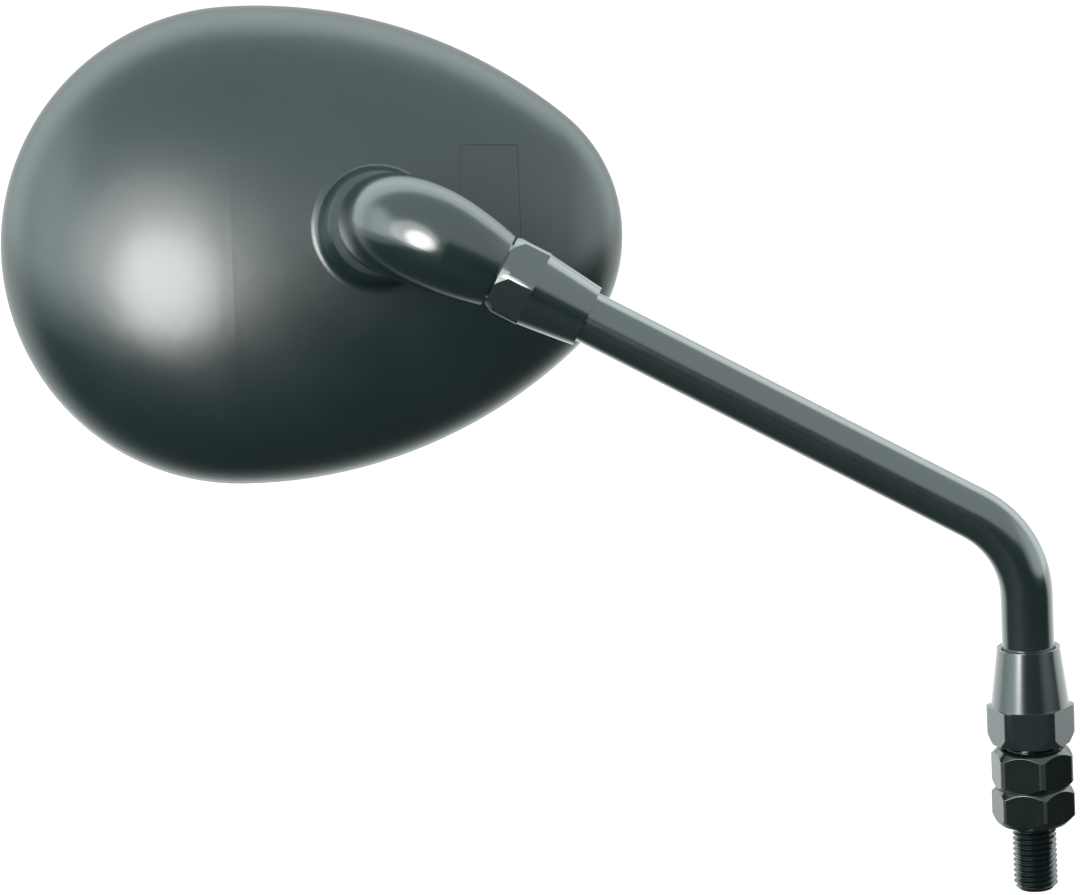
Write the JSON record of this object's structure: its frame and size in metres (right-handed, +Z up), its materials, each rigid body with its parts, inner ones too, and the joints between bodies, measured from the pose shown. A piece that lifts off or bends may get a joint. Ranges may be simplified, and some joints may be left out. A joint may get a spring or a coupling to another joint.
{
  "type": "motorcycle mirror",
  "caption": "Egg-shaped motorcycle rear-view mirror on a bent round stem, with a ball-jointed head, swivel cap nuts and a threaded stud with a lock nut.",
  "frame": {"origin": "on the stud's axis at the lock nut's lower face, which sits on the perch", "axes": "+Z up along the stud's axis, +X to the right of the mirror's back, +Y the way the glass faces"},
  "size_m": [0.2403, 0.1001, 0.1932],
  "materials": {
    "black_zinc": "black plated steel, half gloss",
    "black_lacquer": "gloss black paint",
    "black_casting": "die-cast alloy, gloss black paint",
    "black_plastic": "moulded, satin black",
    "grey_rubber": "textured grey",
    "black_rubber": "smooth black",
    "black_foam": "foam sheet",
    "white_plastic": "natural acetal",
    "bright_steel": "zinc plated",
    "brass": "plain",
    "silvered_glass": "silvered at the back"
  },
  "bodies": {
    "mount": {"stud_adapter": "black_zinc", "lower_friction_ring": "brass"},
    "lock_nut": {"lock_nut": "black_zinc"},
    "lower_cap": {"lower_cap_nut": "black_lacquer"},
    "stem": {"stem": "black_lacquer"},
    "neck": {"neck": "black_casting", "ball_stud": "bright_steel", "upper_friction_ring": "brass"},
    "upper_cap": {"upper_cap_nut": "black_lacquer"},
    "seal": {"dust_seal": "grey_rubber"},
    "liner": {"ball_liner": "white_plastic"},
    "head": {"housing_shell": "black_plastic", "pressure_cup": "bright_steel", "pressure_spring": "bright_steel", "retainer_plate": "bright_steel", "retainer_screws": "bright_steel", "mirror_glass": "silvered_glass", "glass_pad": "black_foam", "rim_seal": "black_rubber"}
  },
  "joints": [
    {"name": "lock_nut_turn", "type": "hinge", "parent": "mount", "child": "lock_nut", "pos_m": [0, 0, 0], "axis": [0, 0, 1], "continuous": true},
    {"name": "lower_cap_turn", "type": "hinge", "parent": "mount", "child": "lower_cap", "pos_m": [0, 0, 0], "axis": [0, 0, 1], "continuous": true},
    {"name": "stem_swivel", "type": "hinge", "parent": "mount", "child": "stem", "pos_m": [0, 0, 0], "axis": [0, 0, 1], "continuous": true},
    {"name": "neck_swivel", "type": "hinge", "parent": "stem", "child": "neck", "pos_m": [-0.11686, 0.01684, 0.12959], "axis": [-0.8734, 0.1259, 0.4704], "continuous": true},
    {"name": "upper_cap_turn", "type": "hinge", "parent": "neck", "child": "upper_cap", "pos_m": [-0.11686, 0.01684, 0.12959], "axis": [-0.8734, 0.1259, 0.4704], "continuous": true},
    {"name": "head_roll", "type": "hinge", "parent": "neck", "child": "seal", "pos_m": [-0.14428, 0.04345, 0.13384], "axis": [0.1532, -0.9286, 0.338], "range_deg": [-30, 30]},
    {"name": "head_tilt", "type": "hinge", "parent": "seal", "child": "liner", "pos_m": [-0.14428, 0.04345, 0.13384], "axis": [0.9882, 0.144, -0.0524], "range_deg": [-12, 12]},
    {"name": "head_pan", "type": "hinge", "parent": "liner", "child": "head", "pos_m": [-0.14428, 0.04345, 0.13384], "axis": [0, 0.342, 0.9397], "range_deg": [-12, 12]}
  ]
}
